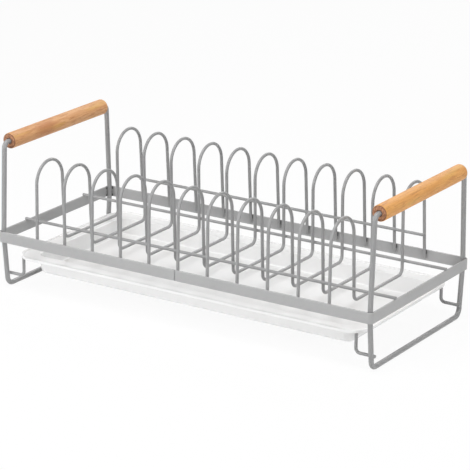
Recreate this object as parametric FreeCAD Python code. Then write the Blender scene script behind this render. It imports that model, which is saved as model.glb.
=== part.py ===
import FreeCAD, Part
import math
import os

# A plate rack: a flat steel band carries eleven wire dividers, two wire side frames stand
# it on the worktop and hold a wooden grip each, and four hooks carry a drip tray.
# Millimetres. X runs along the rack, Y from its front to its back and Z up.
# The origin is on the worktop, under the middle of the rack.

# The band round the rack.
RACK_LENGTH = 430.0
RACK_DEPTH = 190.0
BAND_TOP = 60.0
BAND_HEIGHT = 11.0
BAND_THICKNESS = 2.0
BAND_CORNER_RADIUS = 4.5
BAND_EDGE_RADIUS = 0.5
# The ends of the strip meet in a ground-down butt weld at the front.
SEAM_X = -1.6
SEAM_WIDTH = 0.5
SEAM_DEPTH = 0.25

# Steel wire. Welded wires are sunk a little into each other and into the band.
FRAME_WIRE = 5.0
DIVIDER_WIRE = 3.2
RAIL_WIRE = 3.0
HOOK_WIRE = 3.2
WELD_BITE = 0.3
FRAME_WELD_BITE = 0.2
CUT_END_ROUNDING = 0.4

# The plate dividers, each one wire with two arches and a trough between them.
DIVIDER_COUNT = 11
PLATE_PITCH = 33.6
ARCH_RADIUS = 21.0
ARCH_CENTRE_Z = 115.0
FRONT_ARCH_Y = -69.8
BACK_ARCH_Y = 66.3
TROUGH_Z = 48.4
TROUGH_BEND_RADIUS = 6.5
FOOT_Z = 52.0

# The rails that tie the dividers together.
RAIL_Y = 49.2
UPPER_RAIL_Z = 76.8
UPPER_RAIL_OVERHANG = 0.8

# The side frames: pegs in the grips, legs with a slight knee at the band, a floor bar.
SHOULDER_Y = 86.2
SHOULDER_BEND_RADIUS = 6.0
KNEE_Z = 54.5
KNEE_BEND_RADIUS = 30.0
FLOOR_BAR_CORNER_Y = 85.6
FLOOR_BAR_BEND_RADIUS = 8.0

# The grips, which turn freely on the pegs.
GRIP_Z = 150.5
GRIP_RADIUS = 8.0
GRIP_LENGTH = 158.0
GRIP_EDGE_RADIUS = 2.0
PEG_LENGTH = 14.0
PEG_CLEARANCE = 0.08
BORE_DEPTH = 16.0
BORE_MOUTH_RADIUS = 3.4
BORE_MOUTH_DEPTH = 0.8

# The hooks, welded to the inner side of the legs, with their tips turned up.
HOOK_Z = 14.0
HOOK_TIP_X = 192.3
HOOK_TIP_Z = 33.0
HOOK_BEND_RADIUS = 4.5

# The drip tray, which lies with its rim on the tips of the hooks and slides out.
TRAY_PLAY = 0.2
TRAY_RIM_LENGTH = 401.0
TRAY_RIM_DEPTH = 181.0
TRAY_RIM_CORNER_RADIUS = 22.0
TRAY_RIM_THICKNESS = 2.3
TRAY_LIP_HEIGHT = 1.0
TRAY_LIP_WIDTH = 2.4
TRAY_RIM_EDGE_RADIUS = 0.9
TRAY_BODY_LENGTH = 368.0
TRAY_BODY_DEPTH = 152.0
TRAY_BODY_CORNER_RADIUS = 11.0
TRAY_DRAFT = 3.0
TRAY_BOTTOM_Z = 17.0
TRAY_WALL = 1.8
TRAY_FOOT_RADIUS = 3.5

# Worked out from the above.
BAND_BOTTOM = BAND_TOP - BAND_HEIGHT
BAND_INNER_X = RACK_LENGTH / 2 - BAND_THICKNESS
BAND_INNER_Y = RACK_DEPTH / 2 - BAND_THICKNESS
RAIL_Z = BAND_TOP + RAIL_WIRE / 2 - WELD_BITE
RAIL_TO_DIVIDER = (RAIL_WIRE + DIVIDER_WIRE) / 2 - WELD_BITE
FRAME_X = BAND_INNER_X - FRAME_WIRE / 2 + FRAME_WELD_BITE
KNEE_Y = BAND_INNER_Y - FRAME_WIRE / 2 + FRAME_WELD_BITE
FLOOR_BAR_Z = FRAME_WIRE / 2
TRAY_RIM_UNDERSIDE = HOOK_TIP_Z + TRAY_PLAY
TRAY_RIM_TOP = TRAY_RIM_UNDERSIDE + TRAY_RIM_THICKNESS
TRAY_LIP_TOP = TRAY_RIM_TOP + TRAY_LIP_HEIGHT


def spot(x, y, z):
    return FreeCAD.Vector(x, y, z)


def line(start, end):
    return Part.LineSegment(start, end).toShape()


def arc(start, middle, end):
    return Part.Arc(start, middle, end).toShape()


def bend(before, corner, after, radius):
    """Start, middle and end of the arc that rounds a corner between two straight runs."""
    back = (before - corner).normalize()
    ahead = (after - corner).normalize()
    half_angle = back.getAngle(ahead) / 2
    reach = radius / math.tan(half_angle)
    inward = (back + ahead).normalize()
    middle = corner + inward * (radius / math.sin(half_angle) - radius)
    return corner + back * reach, middle, corner + ahead * reach


def bent_path(corners, radii):
    """Straight runs from corner to corner, joined by bends of the given radii."""
    edges = []
    here = corners[0]
    for index, radius in enumerate(radii):
        start, middle, end = bend(corners[index], corners[index + 1], corners[index + 2], radius)
        edges.append(line(here, start))
        edges.append(arc(start, middle, end))
        here = end
    edges.append(line(here, corners[-1]))
    return edges


def bent_wire(edges, diameter):
    """Round wire along a smooth chain of edges."""
    first = edges[0]
    start = first.valueAt(first.FirstParameter)
    heading = first.tangentAt(first.FirstParameter)
    section = Part.Circle(start, heading, diameter / 2).toShape()
    return Part.Wire(edges).makePipe(Part.Face(Part.Wire([section])))


def round_cut_ends(wire):
    """Take the sharp edge off both cut ends of a wire."""
    ends = []
    for face in wire.Faces:
        if face.Surface.TypeId == "Part::GeomPlane":
            ends.extend(face.Edges)
    return wire.makeFillet(CUT_END_ROUNDING, ends)


def straight_wire(start, end, diameter):
    along = end - start
    return round_cut_ends(Part.makeCylinder(diameter / 2, along.Length, start, along))


def rounded_rectangle(length, depth, corner_radius, z):
    """Closed outline about the Z axis."""
    x = length / 2
    y = depth / 2
    corners = [spot(x, -y, z), spot(x, y, z), spot(-x, y, z), spot(-x, -y, z)]
    middle_of_front = spot(0, -y, z)
    loop = [middle_of_front] + corners + [middle_of_front]
    return Part.Wire(bent_path(loop, [corner_radius] * len(corners)))


def rounded_slab(length, depth, corner_radius, z, height):
    outline = rounded_rectangle(length, depth, corner_radius, z)
    return Part.Face(outline).extrude(spot(0, 0, height))


def level_edges(solid, z):
    """The edges of a solid that lie at one height."""
    return [edge for edge in solid.Edges
            if abs(edge.BoundBox.ZMin - z) < 1e-4 and abs(edge.BoundBox.ZMax - z) < 1e-4]


def band():
    """Flat strip on edge, bent round the rack with tight corners."""
    outer = rounded_slab(RACK_LENGTH, RACK_DEPTH, BAND_CORNER_RADIUS, BAND_BOTTOM, BAND_HEIGHT)
    inner = rounded_slab(RACK_LENGTH - 2 * BAND_THICKNESS, RACK_DEPTH - 2 * BAND_THICKNESS,
                         BAND_CORNER_RADIUS - BAND_THICKNESS, BAND_BOTTOM, BAND_HEIGHT)
    strip = outer.cut(inner)
    long_edges = level_edges(strip, BAND_BOTTOM) + level_edges(strip, BAND_TOP)
    strip = strip.makeFillet(BAND_EDGE_RADIUS, long_edges)
    seam_corner = spot(SEAM_X - SEAM_WIDTH / 2, -RACK_DEPTH / 2 - SEAM_DEPTH, BAND_BOTTOM)
    seam = Part.makeBox(SEAM_WIDTH, 2 * SEAM_DEPTH, BAND_HEIGHT, seam_corner)
    return strip.cut(seam)


def tangent_point(outside, centre, radius, side):
    """Where a line from a point in a Y-Z plane touches a circle in it, on either side (1, -1)."""
    reach = outside - centre
    angle = math.atan2(reach.z, reach.y) + side * math.acos(radius / reach.Length)
    return centre + spot(0, radius * math.cos(angle), radius * math.sin(angle))


def trough_corner(arch_end, rail_contact):
    """Where the inner leg of a divider, carried on past its rail, meets the trough's floor."""
    drop = (arch_end.z - TROUGH_Z) / (arch_end.z - rail_contact.z)
    return arch_end + (rail_contact - arch_end) * drop


def divider_feet(x):
    """The cut ends of a divider, welded to the inside of the band at the front and the back."""
    y = BAND_INNER_Y - DIVIDER_WIRE / 2 + WELD_BITE
    return spot(x, -y, FOOT_Z), spot(x, y, FOOT_Z)


def back_arch_tangent(x):
    back_centre = spot(x, BACK_ARCH_Y, ARCH_CENTRE_Z)
    return tangent_point(divider_feet(x)[1], back_centre, ARCH_RADIUS, 1)


def divider(x):
    """One wire: up from the front foot, over, down to the trough, up, over, down to the back."""
    front_foot, back_foot = divider_feet(x)
    front_centre = spot(x, FRONT_ARCH_Y, ARCH_CENTRE_Z)
    back_centre = spot(x, BACK_ARCH_Y, ARCH_CENTRE_Z)
    crown = spot(0, 0, ARCH_RADIUS)
    front_contact = spot(x, -RAIL_Y + RAIL_TO_DIVIDER, RAIL_Z)
    back_contact = spot(x, RAIL_Y - RAIL_TO_DIVIDER, RAIL_Z)
    front_rise = tangent_point(front_foot, front_centre, ARCH_RADIUS, -1)
    front_fall = tangent_point(front_contact, front_centre, ARCH_RADIUS, 1)
    back_rise = tangent_point(back_contact, back_centre, ARCH_RADIUS, -1)
    back_fall = back_arch_tangent(x)
    trough = [front_fall, trough_corner(front_fall, front_contact),
              trough_corner(back_rise, back_contact), back_rise]
    edges = [line(front_foot, front_rise), arc(front_rise, front_centre + crown, front_fall)]
    edges += bent_path(trough, [TROUGH_BEND_RADIUS, TROUGH_BEND_RADIUS])
    edges += [arc(back_rise, back_centre + crown, back_fall), line(back_fall, back_foot)]
    return bent_wire(edges, DIVIDER_WIRE)


def trough_rail(y):
    """Straight wire that lies across both ends of the band, outside the dividers' trough."""
    half = RACK_LENGTH / 2
    return straight_wire(spot(-half, y, RAIL_Z), spot(half, y, RAIL_Z), RAIL_WIRE)


def upper_rail():
    """Straight wire on the inner side of the dividers' back legs, above the band."""
    foot = divider_feet(0)[1]
    top = back_arch_tangent(0)
    rise = (UPPER_RAIL_Z - foot.z) / (top.z - foot.z)
    y = foot.y + (top.y - foot.y) * rise - RAIL_TO_DIVIDER
    half = (DIVIDER_COUNT - 1) / 2 * PLATE_PITCH + UPPER_RAIL_OVERHANG
    return straight_wire(spot(-half, y, UPPER_RAIL_Z), spot(half, y, UPPER_RAIL_Z), RAIL_WIRE)


def side_frame(x):
    """One wire: from the peg in one end of the grip round under the rack to the other peg."""
    peg_y = GRIP_LENGTH / 2 - PEG_LENGTH
    front_half = [spot(x, -peg_y, GRIP_Z), spot(x, -SHOULDER_Y, GRIP_Z),
                  spot(x, -KNEE_Y, KNEE_Z), spot(x, -FLOOR_BAR_CORNER_Y, FLOOR_BAR_Z)]
    back_half = [spot(x, -corner.y, corner.z) for corner in reversed(front_half)]
    radii = [SHOULDER_BEND_RADIUS, KNEE_BEND_RADIUS, FLOOR_BAR_BEND_RADIUS]
    return bent_wire(bent_path(front_half + back_half, radii + radii[::-1]), FRAME_WIRE)


def grip(x):
    """Wooden dowel with a blind bore in each end, countersunk at its mouth."""
    half = GRIP_LENGTH / 2
    dowel = Part.makeCylinder(GRIP_RADIUS, GRIP_LENGTH, spot(x, -half, GRIP_Z), spot(0, 1, 0))
    rims = [edge for edge in dowel.Edges if isinstance(edge.Curve, Part.Circle)]
    dowel = dowel.makeFillet(GRIP_EDGE_RADIUS, rims)
    bore_radius = FRAME_WIRE / 2 + PEG_CLEARANCE
    for end in (-1, 1):
        mouth = spot(x, end * half, GRIP_Z)
        inward = spot(0, -end, 0)
        bore = Part.makeCylinder(bore_radius, BORE_DEPTH, mouth, inward)
        countersink = Part.makeCone(BORE_MOUTH_RADIUS, bore_radius, BORE_MOUTH_DEPTH, mouth, inward)
        dowel = dowel.cut(bore.fuse(countersink))
    return dowel


def hook(side_x, side_y):
    """Short wire across a leg, pointing inwards, with its tip turned up under the tray's rim."""
    leg_slope = (KNEE_Y - FLOOR_BAR_CORNER_Y) / (KNEE_Z - FLOOR_BAR_Z)
    leg_y = FLOOR_BAR_CORNER_Y + leg_slope * (HOOK_Z - FLOOR_BAR_Z)
    y = side_y * (leg_y - (FRAME_WIRE + HOOK_WIRE) / 2 + WELD_BITE)
    stub = spot(side_x * (FRAME_X + FRAME_WIRE / 2), y, HOOK_Z)
    elbow = spot(side_x * HOOK_TIP_X, y, HOOK_Z)
    tip = spot(side_x * HOOK_TIP_X, y, HOOK_TIP_Z)
    return round_cut_ends(bent_wire(bent_path([stub, elbow, tip], [HOOK_BEND_RADIUS]), HOOK_WIRE))


def tapered_block(length, depth, corner_radius, bottom, top):
    """Block about the Z axis with the tray's draft, the given size at its top."""
    draft = TRAY_DRAFT * (top - bottom) / (TRAY_RIM_UNDERSIDE - TRAY_BOTTOM_Z)
    small = rounded_rectangle(length - 2 * draft, depth - 2 * draft, corner_radius - draft, bottom)
    large = rounded_rectangle(length, depth, corner_radius, top)
    return Part.makeLoft([small, large], True, True)


def tray_rim():
    """Flat flange with a low lip round its outer edge."""
    flange = rounded_slab(TRAY_RIM_LENGTH, TRAY_RIM_DEPTH, TRAY_RIM_CORNER_RADIUS,
                          TRAY_RIM_UNDERSIDE, TRAY_LIP_TOP - TRAY_RIM_UNDERSIDE)
    dished = rounded_slab(TRAY_RIM_LENGTH - 2 * TRAY_LIP_WIDTH, TRAY_RIM_DEPTH - 2 * TRAY_LIP_WIDTH,
                          TRAY_RIM_CORNER_RADIUS - TRAY_LIP_WIDTH, TRAY_RIM_TOP, TRAY_LIP_HEIGHT)
    outer_edges = level_edges(flange, TRAY_RIM_UNDERSIDE) + level_edges(flange, TRAY_LIP_TOP)
    return flange.makeFillet(TRAY_RIM_EDGE_RADIUS, outer_edges).cut(dished)


def drip_tray():
    """Shallow tray with a flat rim, moulded in one piece."""
    floor_top = TRAY_BOTTOM_Z + TRAY_WALL
    body = tapered_block(TRAY_BODY_LENGTH, TRAY_BODY_DEPTH, TRAY_BODY_CORNER_RADIUS,
                         TRAY_BOTTOM_Z, TRAY_RIM_UNDERSIDE)
    body = body.makeFillet(TRAY_FOOT_RADIUS, level_edges(body, TRAY_BOTTOM_Z))
    hollow = tapered_block(TRAY_BODY_LENGTH - 2 * TRAY_WALL, TRAY_BODY_DEPTH - 2 * TRAY_WALL,
                           TRAY_BODY_CORNER_RADIUS - TRAY_WALL, floor_top, TRAY_RIM_TOP)
    hollow = hollow.makeFillet(TRAY_FOOT_RADIUS - TRAY_WALL, level_edges(hollow, floor_top))
    return tray_rim().fuse(body).cut(hollow).removeSplitter()


def all_pieces():
    pieces = {"band": band(),
              "front_rail": trough_rail(-RAIL_Y),
              "back_rail": trough_rail(RAIL_Y),
              "upper_rail": upper_rail(),
              "drip_tray": drip_tray()}
    for index in range(DIVIDER_COUNT):
        x = (index - (DIVIDER_COUNT - 1) / 2) * PLATE_PITCH
        pieces[f"divider_{index + 1:02d}"] = divider(x)
    for side, side_x in (("left", -1), ("right", 1)):
        pieces[f"{side}_side_frame"] = side_frame(side_x * FRAME_X)
        pieces[f"{side}_grip"] = grip(side_x * FRAME_X)
        for end, side_y in (("front", -1), ("back", 1)):
            pieces[f"{end}_{side}_hook"] = hook(side_x, side_y)
    return pieces


os.makedirs("parts", exist_ok=True)
for name, shape in all_pieces().items():
    if not shape.isValid() or len(shape.Solids) != 1:
        raise RuntimeError(f"{name} is not one valid solid")
    shape.Solids[0].exportStep(f"parts/{name}.step")
    print(f"{name}: {shape.Volume:.0f} cubic millimetres")
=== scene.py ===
import math
import bmesh
import bpy
from mathutils import Matrix, Vector, noise


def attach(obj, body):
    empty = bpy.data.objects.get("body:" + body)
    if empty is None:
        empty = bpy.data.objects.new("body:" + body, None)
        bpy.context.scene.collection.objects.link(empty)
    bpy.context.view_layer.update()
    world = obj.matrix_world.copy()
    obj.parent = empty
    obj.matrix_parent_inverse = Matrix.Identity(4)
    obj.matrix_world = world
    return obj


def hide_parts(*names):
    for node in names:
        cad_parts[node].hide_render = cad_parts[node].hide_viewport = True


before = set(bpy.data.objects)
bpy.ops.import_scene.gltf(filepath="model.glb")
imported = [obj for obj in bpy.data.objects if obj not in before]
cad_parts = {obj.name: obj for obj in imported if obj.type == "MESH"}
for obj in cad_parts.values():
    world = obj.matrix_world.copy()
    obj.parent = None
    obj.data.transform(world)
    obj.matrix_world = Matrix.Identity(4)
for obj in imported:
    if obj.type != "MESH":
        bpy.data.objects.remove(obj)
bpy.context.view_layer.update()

MM = 0.001

# Camera, at the photograph's angle: in front of the rack, to its right and above it.
CAMERA_PLACE = Vector((1.2145, -1.8848, 0.8116))
CAMERA_YAW = math.radians(-32.671)
CAMERA_PITCH = math.radians(-18.310)
CAMERA_ROLL = math.radians(0.404)
CAMERA_LENS_MM = 183.84
CAMERA_SENSOR_MM = 36.0
CAMERA_NEAR = 0.05
CAMERA_FAR = 50.0

# Band, dividers and rails.
BAND_HALF_LENGTH = 215.0 * MM
BAND_HALF_DEPTH = 95.0 * MM
BAND_THICKNESS = 2.0 * MM
BAND_TOP = 60.0 * MM
BAND_BOTTOM = 49.0 * MM
BAND_MIDDLE = (BAND_TOP + BAND_BOTTOM) / 2
SEAM_X = -1.6 * MM
DIVIDER_COUNT = 11
PLATE_PITCH = 33.6 * MM
DIVIDER_XS = [(place - (DIVIDER_COUNT - 1) / 2) * PLATE_PITCH for place in range(DIVIDER_COUNT)]
RAIL_WIRE_RADIUS = 1.5 * MM
RAIL_Y = 49.2 * MM
RAIL_Z = 61.2 * MM
RAIL_CONTACT_Y = RAIL_Y - RAIL_WIRE_RADIUS
UPPER_RAIL_Y = 87.19 * MM
UPPER_RAIL_Z = 76.8 * MM
UPPER_CONTACT_Y = UPPER_RAIL_Y + RAIL_WIRE_RADIUS

# Side frames and hooks.
FRAME_X = 210.7 * MM
FRAME_LEG_Y = 90.6 * MM
HOOK_Z = 14.0 * MM
HOOK_CONTACT_Y = 84.4 * MM

# Weld beads: half sizes in millimetres along X, Y and Z.
FOOT_WELD = (1.95, 0.9, 1.9)
RAIL_WELD = (1.9, 0.8, 1.8)
RAIL_END_WELD = (1.2, 2.4, 0.8)
LEG_SIDE_WELD = (0.8, 2.5, 2.2)
LEG_FRONT_WELD = (2.4, 0.8, 2.2)
HOOK_WELD = (2.5, 0.9, 2.4)

# Height of the foot welds, how far other beads lie off a face or a joint, and how uneven they are.
FOOT_WELD_Z = 53.6 * MM
BAND_WELD_OFFSET = 0.1 * MM
RAIL_WELD_OFFSET = 0.15 * MM
RAIL_END_WELD_OFFSET = 0.7 * MM
BEAD_SWELL = 0.16
BEAD_SWELLS_PER_MM = 0.55
BEAD_SEED_GAP = 3.7

# Wooden grips, with the ripple that sanding leaves: its depth in metres and its waves per metre.
GRIP_Z = 150.5 * MM
GRIP_RADIUS = 8.0 * MM
GRIP_HALF_LENGTH = 79.0 * MM
GRIP_EDGE_RADIUS = 2.0 * MM
BORE_RADIUS = 2.58 * MM
BORE_DEPTH = 16.0 * MM
BORE_MOUTH_RADIUS = 3.4 * MM
BORE_MOUTH_DEPTH = 0.8 * MM
BORE_EDGE_RADIUS = 0.25 * MM
GRIP_SIDES = 96
GRIP_RING_GAP = 2.5 * MM
MERGE_DISTANCE = 1e-6
RIPPLE_DEPTH = 0.07 * MM
RIPPLE_MEAN = 0.65
RIPPLE_SWING = 0.5
RIPPLE_FROM = BORE_MOUTH_RADIUS + 1.5 * MM
RIPPLES_ACROSS = 90
RIPPLES_ALONG = 35
RIPPLE_SEED = 7

# Drip tray: half sizes of its rim and of its body where the body meets the rim.
RIM_HALF_LENGTH = 200.5 * MM
RIM_HALF_DEPTH = 90.5 * MM
RIM_CORNER_RADIUS = 22.0 * MM
BODY_HALF_LENGTH = 184.0 * MM
BODY_HALF_DEPTH = 76.0 * MM
BODY_CORNER_RADIUS = 11.0 * MM
TIGHTEST_CORNER = 2.0 * MM
RIM_UNDERSIDE = 33.2 * MM
RIM_TOP = 35.5 * MM
LIP_TOP = 36.5 * MM
LIP_WIDTH = 2.4 * MM
LIP_DRAFT = 0.25 * MM
TRAY_BOTTOM = 17.0 * MM
TRAY_FLOOR = 18.8 * MM
TRAY_WALL = 1.8 * MM
TRAY_DRAFT = 3.0 * MM

# Where the tray's paths start and end on its level parts, measured from its walls or its rim's edge.
FLAT_INSET = 9.0 * MM
WALL_OUTSET = 3.0 * MM
RIM_UNDER_INSET = 8.0 * MM
RIM_OVER_INSET = 9.0 * MM

# Roundings of the tray, in the order of each path's corners.
UNDER_ROUNDS = (3.5 * MM, 1.2 * MM)
RIM_ROUNDS = (0.9 * MM, 0.9 * MM, 0.45 * MM, 0.4 * MM)
INSIDE_ROUNDS = (0.9 * MM, 1.7 * MM)
CORNER_STEPS = 14
ROUND_STEPS = 5

# Powder coat: colours, sizes of its marks, and how much of each shows.
BAND_GREY = (0.366, 0.367, 0.369)
BAND_GREY_PALE = (0.442, 0.443, 0.445)
# The wires' greys are the band's coat painted darker: painted shade standing in for the shading of the
# round wires.
WIRE_SHADED_GREY = (0.282, 0.283, 0.285)
WIRE_SHADED_GREY_PALE = (0.340, 0.341, 0.343)
GREY_RUBBED = (0.46, 0.46, 0.465)
GREY_GRIME = (0.20, 0.195, 0.19)
# Near-black grey for the painted shade in gaps, also used for the darker seam.
GAP_DARK_GREY = (0.035, 0.034, 0.033)
COAT_CLOUD = 45.0 * MM
COAT_MOTTLE = 2.2 * MM
COAT_SPECKLE = 0.35 * MM
COAT_PEEL = 1.3 * MM
COAT_FINE_PEEL = 0.5 * MM
COAT_HANDLED = 14.0 * MM
COAT_WORN = 1.1 * MM
COAT_RELIEF = 0.035 * MM
COAT_ROUGHNESS = 0.26
COAT_IOR = 1.45
HANDLED_SHARE = 0.10
WORN_SHARE = 0.55
WORN_POLISH = 0.10
EDGE_WEAR_SHARE = 0.6
SEAM_DARK_SHARE = 0.35
# How dark the painted shade is beside the dividers' feet and round the frame legs' welds.
FOOT_SHADE_SHARE = 0.8
CORNER_SHADE_SHARE = 0.9

# Where wear, painted shade and the darker seam start and stop: a pair of heights or distances for each
# soft edge.
WORKTOP_WEAR = (0.1 * MM, 1.2 * MM)
TRAY_WEAR = (32.0 * MM, 33.0 * MM)
TROUGH_WEAR = (49.0 * MM, 52.5 * MM)
ARCH_WEAR = (40.0 * MM, 47.0 * MM)
BAND_EDGE_WEAR = (4.9 * MM, 5.45 * MM)
SEAM_DARK_REACH = (0.5 * MM, 1.1 * MM)
BAND_FRONT = (-94.0 * MM, -93.5 * MM)
# Painted shade beside the dividers' feet, on the band's inner faces above the welds.
FOOT_SHADE_REACH = (1.1 * MM, 2.4 * MM)
LAST_FOOT = (172.0 * MM, 176.0 * MM)
BAND_INNER_FACE = ((92.2 * MM, 92.7 * MM), (93.2 * MM, 93.6 * MM))
OVER_FOOT_WELD = ((55.0 * MM, 56.2 * MM), (59.7 * MM, 60.1 * MM))
# Painted shade round each frame leg's weld, and how far clear of the weld it stays.
LEG_SHADE_REACH = (3.0 * MM, 4.3 * MM)
CLEAR_OF_LEG_WELD = (2.2 * MM, 3.0 * MM)

# Wood: colours, sizes of its marks across the grain, and how its surface shines.
LEFT_WOOD_PALE = (0.775, 0.455, 0.228)
LEFT_WOOD_WARM = (0.575, 0.264, 0.104)
RIGHT_WOOD_PALE = (0.790, 0.416, 0.134)
RIGHT_WOOD_WARM = (0.648, 0.292, 0.077)
WOOD_STREAK = (0.430, 0.160, 0.050)
WOOD_BLUSH = (0.480, 0.195, 0.076)
WOOD_GOLD = (0.670, 0.390, 0.098)
WOOD_PORE = (0.240, 0.098, 0.040)
WOOD_END = (0.540, 0.262, 0.140)
WOOD_END_DARK = (0.290, 0.125, 0.062)
# Darkest end-grain colour, also used for the painted shade on the end faces' edges and in the bores.
WOOD_END_RING_AND_SHADE = (0.095, 0.038, 0.021)
WOOD_FIBRE = 0.55 * MM
WOOD_THREAD = 0.22 * MM
WOOD_COARSE = 1.3 * MM
WOOD_STREAKS = 2.6 * MM
WOOD_PORES = 0.30 * MM
WOOD_PATCH = 9.0 * MM
WOOD_GOLD_PATCH = 6.0 * MM
WOOD_END_PORES = 0.45 * MM
WOOD_END_TONE = 2.4 * MM
WOOD_RELIEF = 0.05 * MM
WOOD_ROUGHNESS = 0.46
WOOD_IOR = 1.40

# Growth rings and the lie of the grain, whose marks are drawn out along Y.
RING_SPACING = 2.3 * MM
RING_SWAY = 7.0 * MM
RING_SWAY_SIZE = 11.0 * MM
HEART_SHIFT = (13.0 * MM, 9.0 * MM)
HEART_TILT = math.radians(1.6)
LEFT_RING_TURN = math.radians(20)
RIGHT_RING_TURN = math.radians(75)
GRAIN_TURN = (math.radians(-2.5), 0, math.radians(3.5))
FIGURE_STRETCH = (1, 0.12, 1)
FIBRE_STRETCH = (1, 0.03, 1)
PORE_STRETCH = (1, 0.07, 1)
ACROSS_ONLY = (1, 0, 1)

# Redder patches of the grips, their end faces, the painted shade on the end faces' edges and in the
# bores, and how much of each colour shows.
LEFT_BLUSH_Y = -28.0 * MM
RIGHT_BLUSH_Y = 95.0 * MM
BLUSH_REACH = (4.0 * MM, 26.0 * MM)
END_FACE = (77.9 * MM, 78.7 * MM)
ARRIS_SHADE_REACH = (6.2 * MM, 7.3 * MM)
BORE_SHADE_REACH = (BORE_RADIUS + 0.15 * MM, BORE_MOUTH_RADIUS + 0.1 * MM)
STREAK_SHARE = 0.55
GOLD_SHARE = 0.45
BLUSH_SHARE = 0.72
PORE_SHARE = 0.75
RING_SHARE = 0.35
END_RING_SHARE = 0.30
END_PORE_SHARE = 0.5
ARRIS_SHADE_SHARE = 0.85
BORE_SHADE_SHARE = 0.95

# Tray plastic: colours, sizes of its marks, and where its floor and underside lie.
TRAY_WHITE = (0.905, 0.907, 0.910)
TRAY_WHITE_WARM = (0.893, 0.891, 0.884)
TRAY_SCUFF = (0.78, 0.78, 0.775)
TRAY_CLOUD = 60.0 * MM
TRAY_SKIN = 0.8 * MM
HAIR_SIZE = 0.28 * MM
HAIR_PATCH = 16.0 * MM
HAIR_STRETCH = (1, 0.012, 1)
HAIR_TURNS = (17.0, 74.0, 128.0)
ON_TRAY_FLOOR = ((18.3 * MM, 18.6 * MM), (18.9 * MM, 19.6 * MM))
UNDER_TRAY = (17.05 * MM, 17.5 * MM)
SCUFF_SHARE = 0.35
UNDER_SHARE = 0.10
TRAY_RELIEF = 0.008 * MM
TRAY_ROUGHNESS = 0.14
TRAY_IOR = 1.42

# Studio.
BACKDROP = (1.0, 1.0, 1.0)
FLOOR_COLOUR = (0.90, 0.90, 0.90)
FLOOR_HALF_SIZE = 8
FLOOR_DROP = 0.2 * MM
FLOOR_GLOW = 0.93
ROOM_LIGHT = 0.20
LAMP_TARGET = Vector((0, 0, 70.0 * MM))


# Finishes

class Value:
    """What one node gives out, for use in sums."""

    def __init__(self, finish, socket):
        self.finish = finish
        self.socket = socket

    def __add__(self, other):
        return self.finish.maths("ADD", self, other)

    def __sub__(self, other):
        return self.finish.maths("SUBTRACT", self, other)

    def __rsub__(self, other):
        return self.finish.maths("SUBTRACT", other, self)

    def __mul__(self, other):
        return self.finish.maths("MULTIPLY", self, other)

    __radd__ = __add__


class Finish:
    """A node tree that is filled one node at a time."""

    def __init__(self, tree):
        self.tree = tree
        self.tree.nodes.clear()

    def add(self, kind, settings=None, sockets=None, gives=0):
        """One node: its settings first, then the values or links of its sockets."""
        node = self.tree.nodes.new(kind)
        for name, setting in (settings or {}).items():
            setattr(node, name, setting)
        for name, value in (sockets or {}).items():
            socket = node.inputs[name]
            if isinstance(value, Value):
                self.tree.links.new(value.socket, socket)
            elif socket.type == "RGBA":
                socket.default_value = (*value, 1.0)
            else:
                socket.default_value = value
        return Value(self, node.outputs[gives]) if node.outputs else None

    def maths(self, operation, *numbers):
        return self.add("ShaderNodeMath", {"operation": operation}, dict(enumerate(numbers)))

    def absolute(self, number):
        return self.maths("ABSOLUTE", number)

    def part(self, vector, axis):
        """One of a vector's three numbers."""
        return self.add("ShaderNodeSeparateXYZ", {}, {"Vector": vector}, gives=axis)

    def length(self, vector):
        return self.add("ShaderNodeVectorMath", {"operation": "LENGTH"}, {0: vector}, gives="Value")

    def place(self, shift=(0, 0, 0), turn=(0, 0, 0), stretch=(1, 1, 1)):
        """Object coordinates in metres, stretched, then turned, then shifted."""
        here = self.add("ShaderNodeTexCoord", gives="Object")
        sockets = {"Vector": here, "Location": shift, "Rotation": turn, "Scale": stretch}
        return self.add("ShaderNodeMapping", {"vector_type": "POINT"}, sockets)

    def stretched(self, place, stretch):
        return self.add("ShaderNodeVectorMath", {"operation": "MULTIPLY"}, {0: place, 1: stretch})

    def grain(self, place, size, detail=2.0, roughness=0.5):
        """Noise from 0 to 1 whose patches are about the given size in metres."""
        sockets = {"Vector": place, "Scale": 1 / size, "Detail": detail, "Roughness": roughness}
        return self.add("ShaderNodeTexNoise", {"noise_dimensions": "3D"}, sockets)

    def step(self, value, low, high):
        """Smooth rise from 0 at low to 1 at high."""
        sockets = {"Value": value, "From Min": low, "From Max": high}
        return self.add("ShaderNodeMapRange", {"interpolation_type": "SMOOTHSTEP"}, sockets)

    def fade(self, value, low, high):
        """Smooth fall from 1 at low to 0 at high."""
        return 1 - self.step(value, low, high)

    def between(self, value, rise, fall):
        """1 between a smooth rise and a smooth fall, each given by its two ends."""
        return self.step(value, *rise) * self.fade(value, *fall)

    def patches(self, place, size, low, high, detail=2.0, roughness=0.5):
        """Patches of noise, from none where it is under low to full where it is over high."""
        return self.step(self.grain(place, size, detail, roughness), low, high)

    def blend(self, amount, first, second):
        """First colour turning into the second."""
        settings = {"data_type": "RGBA", "blend_type": "MIX", "clamp_factor": True}
        return self.add("ShaderNodeMix", settings, {0: amount, 6: first, 7: second}, gives=2)

    def bump(self, height, depth):
        """Surface that rises by depth in metres where height is 1."""
        return self.add("ShaderNodeBump", {}, {"Height": height, "Distance": depth, "Strength": 1.0})

    def surface(self, **sockets):
        """The shader and the output of a solid surface."""
        named = {name.replace("_", " "): value for name, value in sockets.items()}
        shader = self.add("ShaderNodeBsdfPrincipled", {}, named)
        self.add("ShaderNodeOutputMaterial", {}, {"Surface": shader})


def new_finish(name):
    material = bpy.data.materials.new(name)
    material.use_nodes = True
    return material, Finish(material.node_tree)


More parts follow.
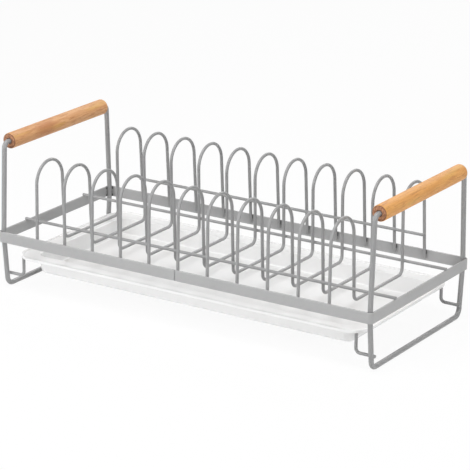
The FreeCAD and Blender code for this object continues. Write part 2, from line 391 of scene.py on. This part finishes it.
def powder_coat(name, dark, pale, rubbed=None, dark_masks=()):
    """Baked grey powder coat: soft orange peel, fine speckle and light handling marks.

    The rubbed function makes the mask of what touches a worktop, a tray or a plate. The functions
    after it make the masks of places painted darker: painted shade in the gaps beside the dividers'
    feet and the frame legs' welds, and a darker line along the band's seam.
    """
    material, finish = new_finish(name)
    here = finish.place()
    cloud = finish.grain(here, COAT_CLOUD)
    speckle = finish.grain(here, COAT_SPECKLE, detail=1.0)
    peel = finish.grain(here, COAT_PEEL, roughness=0.45)
    fine_peel = finish.grain(here, COAT_FINE_PEEL, detail=1.0)
    handled = finish.patches(here, COAT_HANDLED, low=0.60, high=0.74, detail=4.0, roughness=0.62)
    mottle = finish.grain(here, COAT_MOTTLE, detail=3.0, roughness=0.6)
    colour = finish.blend(cloud * 0.4 + mottle * 0.35 + speckle * 0.25, dark, pale)
    colour = finish.blend(handled * HANDLED_SHARE, colour, GREY_GRIME)
    roughness = COAT_ROUGHNESS + cloud * 0.04 + speckle * 0.05 + handled * 0.08
    if rubbed:
        patchy = finish.patches(here, COAT_WORN, low=0.36, high=0.62, detail=3.0, roughness=0.6)
        worn = rubbed(finish, here) * patchy
        colour = finish.blend(worn * WORN_SHARE, colour, GREY_RUBBED)
        roughness = roughness - worn * WORN_POLISH
    # Painted shade in the gaps, and the darker seam, blended towards a near-black grey.
    for dark_mask in dark_masks:
        colour = finish.blend(dark_mask(finish, here), colour, GAP_DARK_GREY)
    relief = peel * 0.7 + fine_peel * 0.2 + speckle * 0.1
    finish.surface(Base_Color=colour, Roughness=roughness, IOR=COAT_IOR,
                   Normal=finish.bump(relief, COAT_RELIEF))
    return material


def depths(finish, here):
    """Distance of each point from the middle of the rack, front to back."""
    return finish.absolute(finish.part(here, "Y"))


def off_band_middle(finish, here):
    """Distance of each point above or below the band's middle line."""
    return finish.absolute(finish.part(here, "Z") - BAND_MIDDLE)


def rubbed_by_worktop(finish, here):
    return finish.fade(finish.part(here, "Z"), *WORKTOP_WEAR)


def rubbed_by_tray(finish, here):
    return finish.step(finish.part(here, "Z"), *TRAY_WEAR)


def rubbed_by_plates(finish, here):
    """Plate rims stand on the dividers' trough and lean on the inner sides of the arches."""
    low = finish.fade(finish.part(here, "Z"), *TROUGH_WEAR)
    return low * finish.fade(depths(finish, here), *ARCH_WEAR)


def rubbed_on_edges(finish, here):
    """Wear along the band's upper and lower edges."""
    return finish.step(off_band_middle(finish, here), *BAND_EDGE_WEAR) * EDGE_WEAR_SHARE


def darker_seam_line(finish, here):
    """Coat painted darker along the groove where the band's two ends meet."""
    off_seam = finish.absolute(finish.part(here, "X") - SEAM_X)
    front = finish.fade(finish.part(here, "Y"), *BAND_FRONT)
    return finish.fade(off_seam, *SEAM_DARK_REACH) * front * SEAM_DARK_SHARE


def painted_shade_by_feet(finish, here):
    """Painted shade: dark narrow strips beside the dividers' feet, above their welds, where the gap
    between each wire and the band lies in shade.
    """
    along = finish.part(here, "X")
    off_divider = finish.maths("PINGPONG", along, PLATE_PITCH / 2)
    beside = finish.fade(off_divider, *FOOT_SHADE_REACH) * finish.fade(finish.absolute(along), *LAST_FOOT)
    inner_face = finish.between(depths(finish, here), *BAND_INNER_FACE)
    above_weld = finish.between(finish.part(here, "Z"), *OVER_FOOT_WELD)
    return beside * inner_face * above_weld * FOOT_SHADE_SHARE


def painted_shade_by_leg_welds(finish, here):
    """Painted shade: dark spots above and below the weld that holds each frame leg in a corner of the
    band, in the gaps between the round leg and the band.
    """
    off_x = finish.absolute(finish.part(here, "X")) - FRAME_X
    off_y = depths(finish, here) - FRAME_LEG_Y
    beside = finish.fade(finish.maths("SQRT", off_x * off_x + off_y * off_y), *LEG_SHADE_REACH)
    clear = finish.step(off_band_middle(finish, here), *CLEAR_OF_LEG_WELD)
    return beside * clear * CORNER_SHADE_SHARE


def oiled_wood(name, side, pale, warm, blush_y, ring_turn):
    """Light oiled hardwood with its growth rings set off the grip's own centre."""
    material, finish = new_finish(name)
    centre = (-side * FRAME_X, 0, -GRIP_Z)
    free = finish.place(shift=centre)
    tilted = finish.place(shift=centre, turn=GRAIN_TURN)
    figure = finish.stretched(tilted, FIGURE_STRETCH)
    fibre = finish.stretched(tilted, FIBRE_STRETCH)
    dash = finish.place(shift=centre, stretch=PORE_STRETCH)

    # Growth rings: distance from a heart that lies outside the dowel, bent by slow noise.
    heart = finish.place(shift=(centre[0] + HEART_SHIFT[0], 0, centre[2] + HEART_SHIFT[1]),
                         turn=(HEART_TILT, 0, ring_turn), stretch=ACROSS_ONLY)
    from_heart = finish.length(heart) + finish.grain(figure, RING_SWAY_SIZE) * RING_SWAY
    rings = finish.maths("SINE", from_heart * (2 * math.pi / RING_SPACING))
    late = finish.step(rings, low=0.1, high=1.0)

    fibres = finish.grain(fibre, WOOD_FIBRE, detail=3.0, roughness=0.6)
    threads = finish.grain(fibre, WOOD_THREAD, roughness=0.6)
    coarse = finish.patches(fibre, WOOD_COARSE, low=0.35, high=0.65)
    streaks = finish.patches(figure, WOOD_STREAKS, low=0.50, high=0.66, detail=4.0, roughness=0.65)
    pores = finish.patches(dash, WOOD_PORES, low=0.69, high=0.76, detail=1.0, roughness=0.4)

    # A redder patch part of the way along, and greener gold where the grain opens.
    along = finish.part(free, "Y")
    near_blush = finish.fade(finish.absolute(along - blush_y), *BLUSH_REACH)
    blush = near_blush * finish.patches(figure, WOOD_PATCH, low=0.38, high=0.62)
    gold = finish.patches(figure, WOOD_GOLD_PATCH, low=0.56, high=0.72, detail=1.0)

    colour = finish.blend(fibres * 0.55 + coarse * 0.45, pale, warm)
    colour = finish.blend(late * RING_SHARE, colour, warm)
    colour = finish.blend(streaks * STREAK_SHARE, colour, WOOD_STREAK)
    colour = finish.blend(gold * GOLD_SHARE, colour, WOOD_GOLD)
    colour = finish.blend(blush * BLUSH_SHARE, colour, WOOD_BLUSH)
    colour = finish.blend(pores * PORE_SHARE, colour, WOOD_PORE)

    # End grain soaks up more oil: redder and darker, with the rings and open pores showing.
    end = finish.step(finish.absolute(along), *END_FACE)
    end_pores = finish.patches(free, WOOD_END_PORES, low=0.58, high=0.70, detail=1.0, roughness=0.4)
    end_tone = finish.grain(free, WOOD_END_TONE, detail=3.0, roughness=0.6)
    radius = finish.length(finish.place(shift=centre, stretch=ACROSS_ONLY))
    end_light = finish.step(end_tone, low=0.36, high=0.62)
    end_colour = finish.blend(end_light, WOOD_END_DARK, WOOD_END)
    end_colour = finish.blend(late * END_RING_SHARE, end_colour, WOOD_END_RING_AND_SHADE)
    end_colour = finish.blend(end_pores * END_PORE_SHARE, end_colour, WOOD_END_RING_AND_SHADE)
    # Painted shade: the end face darkens towards its rounded outer edge.
    end_colour = finish.blend(finish.step(radius, *ARRIS_SHADE_REACH) * ARRIS_SHADE_SHARE, end_colour, WOOD_END_RING_AND_SHADE)
    colour = finish.blend(end, colour, end_colour)

    # Painted shade: the bore and its mouth are painted almost black, standing in for the shade inside the
    # hole.
    colour = finish.blend(finish.fade(radius, *BORE_SHADE_REACH) * BORE_SHADE_SHARE, colour, WOOD_END_RING_AND_SHADE)

    roughness = WOOD_ROUGHNESS + fibres * 0.08 + pores * 0.18 + end * 0.12
    relief = threads * 0.45 + fibres * 0.35 - pores * 0.8 - end_pores * end * 0.7 + end_tone * end * 0.3
    finish.surface(Base_Color=colour, Roughness=roughness, IOR=WOOD_IOR,
                   Normal=finish.bump(relief, WOOD_RELIEF))
    return material


def moulded_white(name):
    """Glossy white moulded plastic, with hair scratches where things have been set down."""
    material, finish = new_finish(name)
    here = finish.place()
    cloud = finish.grain(here, TRAY_CLOUD)
    skin = finish.grain(here, TRAY_SKIN)
    hairs = 0
    for turn in HAIR_TURNS:
        lines = finish.place(turn=(0, 0, math.radians(turn)), stretch=HAIR_STRETCH)
        hairs = hairs + finish.patches(lines, HAIR_SIZE, low=0.735, high=0.775, detail=1.0, roughness=0.4)
    height = finish.part(here, "Z")
    used = finish.patches(here, HAIR_PATCH, low=0.47, high=0.60)
    scuffs = hairs * used * finish.between(height, *ON_TRAY_FLOOR)
    under = finish.fade(height, *UNDER_TRAY)
    colour = finish.blend(cloud, TRAY_WHITE, TRAY_WHITE_WARM)
    colour = finish.blend(scuffs * SCUFF_SHARE + under * UNDER_SHARE, colour, TRAY_SCUFF)
    roughness = TRAY_ROUGHNESS + cloud * 0.04 + skin * 0.03 + scuffs * 0.14 + under * 0.15
    finish.surface(Base_Color=colour, Roughness=roughness, IOR=TRAY_IOR,
                   Normal=finish.bump(skin * 0.8 - scuffs * 0.5, TRAY_RELIEF))
    return material


# Shapes

def rounded_path(points, radii):
    """Corners of a flat path, each inner one turned into a small arc of its own radius."""
    path = [Vector(points[0])]
    for before, corner, after, radius in zip(points, points[1:], points[2:], radii):
        corner = Vector(corner)
        back = (Vector(before) - corner).normalized()
        ahead = (Vector(after) - corner).normalized()
        half = back.angle(ahead) / 2
        centre = corner + (back + ahead).normalized() * (radius / math.sin(half))
        first = (corner + back * (radius / math.tan(half)) - centre).normalized()
        last = (corner + ahead * (radius / math.tan(half)) - centre).normalized()
        path += [centre + first.slerp(last, step / ROUND_STEPS) * radius
                 for step in range(ROUND_STEPS + 1)]
    return path + [Vector(points[-1])]


def finished(name, shape, body, material, evenly_shaded=False):
    """Object at the origin made from a bmesh, riding on its body."""
    mesh = bpy.data.meshes.new(name)
    shape.to_mesh(mesh)
    shape.free()
    mesh.shade_smooth()
    piece = bpy.data.objects.new(name, mesh)
    bpy.context.scene.collection.objects.link(piece)
    mesh.materials.append(material)
    if evenly_shaded:
        evened = piece.modifiers.new("even_shading", "WEIGHTED_NORMAL")
        evened.keep_sharp = True
        evened.weight = 100
    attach(piece, body)
    return piece


def turned_section():
    """Half outline of a grip from the floor of one bore to its middle, as distance out and along."""
    bore_floor = GRIP_HALF_LENGTH - BORE_DEPTH
    corners = [(0, bore_floor),
               (BORE_RADIUS, bore_floor),
               (BORE_RADIUS, GRIP_HALF_LENGTH - BORE_MOUTH_DEPTH),
               (BORE_MOUTH_RADIUS, GRIP_HALF_LENGTH),
               (GRIP_RADIUS, GRIP_HALF_LENGTH),
               (GRIP_RADIUS, 0)]
    path = rounded_path(corners, (BORE_EDGE_RADIUS, BORE_EDGE_RADIUS, BORE_EDGE_RADIUS, GRIP_EDGE_RADIUS))
    last_bend = path[-2]
    rings = math.floor(last_bend.y / GRIP_RING_GAP)
    return path[:-1] + [Vector((GRIP_RADIUS, last_bend.y * (rings - ring) / rings))
                        for ring in range(1, rings + 1)]


def turned_grip(side_name, side, material):
    """Dowel turned from one outline, with a faint ripple on its outside."""
    shape = bmesh.new()
    half = turned_section()
    outline = half + [Vector((point.x, -point.y)) for point in reversed(half[:-1])]
    points = [shape.verts.new((point.x, point.y, 0)) for point in outline]
    edges = [shape.edges.new(pair) for pair in zip(points, points[1:])]
    bmesh.ops.spin(shape, geom=points + edges, cent=(0, 0, 0), axis=(0, 1, 0), dvec=(0, 0, 0),
                   angle=2 * math.pi, steps=GRIP_SIDES, use_merge=True, use_duplicate=False)
    bmesh.ops.remove_doubles(shape, verts=shape.verts, dist=MERGE_DISTANCE)
    bmesh.ops.recalc_face_normals(shape, faces=shape.faces)
    for point in shape.verts:
        out = Vector((point.co.x, 0, point.co.z))
        if out.length > RIPPLE_FROM:
            lie = Vector((point.co.x * RIPPLES_ACROSS,
                          point.co.y * RIPPLES_ALONG + side * RIPPLE_SEED,
                          point.co.z * RIPPLES_ACROSS))
            dip = RIPPLE_DEPTH * (RIPPLE_MEAN + RIPPLE_SWING * noise.noise(lie))
            point.co -= out.normalized() * dip
    bmesh.ops.translate(shape, verts=shape.verts, vec=(side * FRAME_X, 0, GRIP_Z))
    node = f"{side_name}_grip"
    grip = finished(f"{side_name}_turned_grip", shape, node, material, True)
    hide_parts(node)


def first_loop(shape, outline):
    """Edges of a level rounded rectangle, given as half length, half depth, corner and height."""
    half_length, half_depth, corner, height = outline
    made = bmesh.ops.create_grid(shape, x_segments=1, y_segments=1, size=1)["verts"]
    bmesh.ops.scale(shape, verts=made, vec=(half_length, half_depth, 1))
    bmesh.ops.translate(shape, verts=made, vec=(0, 0, height))
    bmesh.ops.bevel(shape, geom=made, offset=corner, offset_type="OFFSET", affect="VERTICES",
                    segments=CORNER_STEPS, profile=0.5, material=-1)
    return list(shape.edges)


def next_loop(shape, edges, before, after):
    """The loop drawn out to another outline, each point keeping its place round the corner."""
    drawn = bmesh.ops.extrude_edge_only(shape, edges=edges)["geom"]
    points = {part for part in drawn if isinstance(part, bmesh.types.BMVert)}
    for point in points:
        for axis in (0, 1):
            side = math.copysign(1, point.co[axis])
            round_corner = (point.co[axis] - side * (before[axis] - before[2])) / before[2]
            point.co[axis] = side * (after[axis] - after[2]) + round_corner * after[2]
        point.co.z = after[3]
    return [part for part in drawn
            if isinstance(part, bmesh.types.BMEdge) and points.issuperset(part.verts)]


def rim_outline(inset, height):
    return (RIM_HALF_LENGTH - inset, RIM_HALF_DEPTH - inset, RIM_CORNER_RADIUS - inset, height)


def body_outline(inset, height):
    return (BODY_HALF_LENGTH - inset, BODY_HALF_DEPTH - inset,
            max(BODY_CORNER_RADIUS - inset, TIGHTEST_CORNER), height)


def moulded_tray(material):
    """Tray skinned over level outlines: up its outside, round its rim and down its inside."""
    under = [(FLAT_INSET, TRAY_BOTTOM), (TRAY_DRAFT, TRAY_BOTTOM),
             (0, RIM_UNDERSIDE), (-WALL_OUTSET, RIM_UNDERSIDE)]
    rim = [(RIM_UNDER_INSET, RIM_UNDERSIDE), (0, RIM_UNDERSIDE), (0, LIP_TOP),
           (LIP_WIDTH, LIP_TOP), (LIP_WIDTH + LIP_DRAFT, RIM_TOP), (RIM_OVER_INSET, RIM_TOP)]
    inside = [(-WALL_OUTSET, RIM_TOP), (TRAY_WALL, RIM_TOP),
              (TRAY_WALL + TRAY_DRAFT, TRAY_FLOOR), (FLAT_INSET, TRAY_FLOOR)]
    outlines = [body_outline(*point) for point in rounded_path(under, UNDER_ROUNDS)]
    outlines += [rim_outline(*point) for point in rounded_path(rim, RIM_ROUNDS)]
    outlines += [body_outline(*point) for point in rounded_path(inside, INSIDE_ROUNDS)]
    shape = bmesh.new()
    loop = first_loop(shape, outlines[0])
    for before, after in zip(outlines, outlines[1:]):
        loop = next_loop(shape, loop, before, after)
    bmesh.ops.edgeloop_fill(shape, edges=loop)
    bmesh.ops.recalc_face_normals(shape, faces=shape.faces)
    tray = finished("moulded_drip_tray", shape, "drip_tray", material, True)
    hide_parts("drip_tray")


def bead(shape, place, size, seed):
    """One weld under its coat: a low lump, slightly uneven, spread along its joint."""
    middle = Vector(place)
    spread = Matrix.Translation(middle) @ Matrix.Diagonal((*size, 1))
    made = bmesh.ops.create_icosphere(shape, subdivisions=3, radius=1, matrix=spread)["verts"]
    for point in made:
        lie = point.co / MM * BEAD_SWELLS_PER_MM + Vector((seed * BEAD_SEED_GAP, 0, 0))
        point.co += (point.co - middle) * BEAD_SWELL * noise.noise(lie)


def beads(name, rows, material):
    """All the welds of one kind, as one piece: rows of a place and a half size in millimetres."""
    shape = bmesh.new()
    for seed, (place, size) in enumerate(rows):
        bead(shape, place, [side * MM for side in size], seed)
    finished(name, shape, "rack", material)


def weld_rows():
    """Place and half size of every weld, by kind."""
    ends = (-1, 1)
    corners = [(side, end) for side in ends for end in ends]
    band_face = BAND_HALF_DEPTH - BAND_THICKNESS - BAND_WELD_OFFSET
    side_face = BAND_HALF_LENGTH - BAND_THICKNESS - BAND_WELD_OFFSET
    over_band = BAND_HALF_LENGTH - BAND_THICKNESS + RAIL_END_WELD_OFFSET
    on_rail = RAIL_CONTACT_Y + RAIL_WELD_OFFSET
    feet = [((x, end * band_face, FOOT_WELD_Z), FOOT_WELD) for end in ends for x in DIVIDER_XS]
    trough = [((x, end * on_rail, RAIL_Z), RAIL_WELD) for end in ends for x in DIVIDER_XS]
    upper = [((x, UPPER_CONTACT_Y, UPPER_RAIL_Z), RAIL_WELD) for x in DIVIDER_XS]
    rail_ends = [((side * over_band, end * RAIL_Y, BAND_TOP - BAND_WELD_OFFSET), RAIL_END_WELD)
                 for side, end in corners]
    legs_on_side = [((side * side_face, end * FRAME_LEG_Y, BAND_MIDDLE), LEG_SIDE_WELD)
                    for side, end in corners]
    legs_on_front = [((side * FRAME_X, end * band_face, BAND_MIDDLE), LEG_FRONT_WELD)
                     for side, end in corners]
    hooks = [((side * FRAME_X, end * HOOK_CONTACT_Y, HOOK_Z), HOOK_WELD) for side, end in corners]
    return {"divider_foot_welds": feet, "trough_rail_welds": trough, "upper_rail_welds": upper,
            "rail_end_welds": rail_ends, "leg_side_welds": legs_on_side,
            "leg_front_welds": legs_on_front, "hook_welds": hooks}


# Dressing the rack

def coat_for(node):
    """Which coat a steel piece has."""
    if "divider" in node:
        return "divider_coat"
    if "hook" in node:
        return "hook_coat"
    if "frame" in node:
        return "frame_coat"
    if node == "band":
        return "band_coat"
    return "rail_coat"


def dress_rack():
    """Coats the steel pieces of the CAD model and adds their welds."""
    # Painted shade: the wires get the darker greys.
    shaded_wire_greys = (WIRE_SHADED_GREY, WIRE_SHADED_GREY_PALE)
    coats = {"divider_coat": powder_coat("divider_coat", *shaded_wire_greys, rubbed_by_plates, (painted_shade_by_feet,)),
             "hook_coat": powder_coat("hook_coat", *shaded_wire_greys, rubbed_by_tray),
             "frame_coat": powder_coat("frame_coat", *shaded_wire_greys, rubbed_by_worktop),
             "band_coat": powder_coat("band_coat", BAND_GREY, BAND_GREY_PALE, rubbed_on_edges,
                                      (darker_seam_line, painted_shade_by_feet, painted_shade_by_leg_welds)),
             "rail_coat": powder_coat("rail_coat", *shaded_wire_greys)}
    replaced = {"left_grip", "right_grip", "drip_tray"}
    for node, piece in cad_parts.items():
        if node not in replaced:
            for place in piece.material_slots:
                place.material = coats[coat_for(node)]
    for name, rows in weld_rows().items():
        beads(name, rows, coats["rail_coat"])


# Studio

def make_camera():
    data = bpy.data.cameras.new("camera")
    data.lens = CAMERA_LENS_MM
    data.sensor_width = CAMERA_SENSOR_MM
    data.clip_start = CAMERA_NEAR
    data.clip_end = CAMERA_FAR
    camera = bpy.data.objects.new("camera", data)
    bpy.context.scene.collection.objects.link(camera)
    ahead = Vector((math.sin(CAMERA_YAW) * math.cos(CAMERA_PITCH),
                    math.cos(CAMERA_YAW) * math.cos(CAMERA_PITCH),
                    math.sin(CAMERA_PITCH)))
    level_right = Vector((math.cos(CAMERA_YAW), -math.sin(CAMERA_YAW), 0))
    level_up = level_right.cross(ahead)
    right = level_right * math.cos(CAMERA_ROLL) + level_up * math.sin(CAMERA_ROLL)
    up = level_up * math.cos(CAMERA_ROLL) - level_right * math.sin(CAMERA_ROLL)
    turn = Matrix((right, up, -ahead)).transposed()
    camera.matrix_world = Matrix.Translation(CAMERA_PLACE) @ turn.to_4x4()
    bpy.context.scene.camera = camera


def seen_directly(finish):
    """1 for camera, glossy and transmission rays, which show the white backdrop itself."""
    rays = [finish.add("ShaderNodeLightPath", gives=f"Is {kind} Ray")
            for kind in ("Camera", "Glossy", "Transmission")]
    return finish.maths("MAXIMUM", finish.maths("MAXIMUM", rays[0], rays[1]), rays[2])


def make_room():
    """Even light from all round, with a white backdrop."""
    world = bpy.data.worlds.new("studio")
    bpy.context.scene.world = world
    world.use_nodes = True
    finish = Finish(world.node_tree)
    strength = ROOM_LIGHT + seen_directly(finish) * (1 - ROOM_LIGHT)
    room = finish.add("ShaderNodeBackground", {}, {"Color": BACKDROP, "Strength": strength})
    finish.add("ShaderNodeOutputWorld", {}, {"Surface": room})


def make_floor():
    """Plain pale floor that runs out of sight and keeps the rack's soft shadow."""
    shape = bmesh.new()
    bmesh.ops.create_grid(shape, x_segments=4, y_segments=4, size=FLOOR_HALF_SIZE)
    mesh = bpy.data.meshes.new("floor")
    shape.to_mesh(mesh)
    shape.free()
    floor = bpy.data.objects.new("floor", mesh)
    bpy.context.scene.collection.objects.link(floor)
    floor.location.z = -FLOOR_DROP
    material, finish = new_finish("pale_floor")
    matt = finish.add("ShaderNodeBsdfDiffuse", {}, {"Color": FLOOR_COLOUR})
    glow = finish.add("ShaderNodeEmission", {}, {"Color": BACKDROP, "Strength": 1.0})
    share = seen_directly(finish) * FLOOR_GLOW
    mixed = finish.add("ShaderNodeMixShader", {}, {0: share, 1: matt, 2: glow})
    finish.add("ShaderNodeOutputMaterial", {}, {"Surface": mixed})
    mesh.materials.append(material)


def softbox(name, place, width, height, radiance):
    """Rectangular lamp that faces the rack; its radiance is in units where 1 is paper white."""
    data = bpy.data.lights.new(name, "AREA")
    data.shape = "RECTANGLE"
    data.size = width
    data.size_y = height
    data.energy = radiance * math.pi * width * height
    lamp = bpy.data.objects.new(name, data)
    bpy.context.scene.collection.objects.link(lamp)
    facing = (LAMP_TARGET - Vector(place)).to_track_quat("-Z", "Y")
    lamp.matrix_world = Matrix.Translation(Vector(place)) @ facing.to_matrix().to_4x4()
    lamp.visible_camera = False


make_camera()
make_room()
make_floor()
softbox("left_window", (-1.19, -1.42, 0.75), width=0.7, height=1.4, radiance=5.6)
softbox("right_panel", (1.72, -0.77, 0.70), width=0.8, height=0.9, radiance=5.4)
softbox("top_panel", (0.1, -0.40, 1.7), width=0.7, height=0.56, radiance=13.7)
softbox("back_panel", (-0.32, 1.60, 1.16), width=1.2, height=0.36, radiance=5.0)

dress_rack()
left_wood = oiled_wood("left_wood", -1, LEFT_WOOD_PALE, LEFT_WOOD_WARM, LEFT_BLUSH_Y, LEFT_RING_TURN)
turned_grip("left", -1, left_wood)
right_wood = oiled_wood("right_wood", 1, RIGHT_WOOD_PALE, RIGHT_WOOD_WARM, RIGHT_BLUSH_Y, RIGHT_RING_TURN)
turned_grip("right", 1, right_wood)
moulded_tray(moulded_white("moulded_white"))

bpy.context.scene.view_settings.view_transform = "Standard"
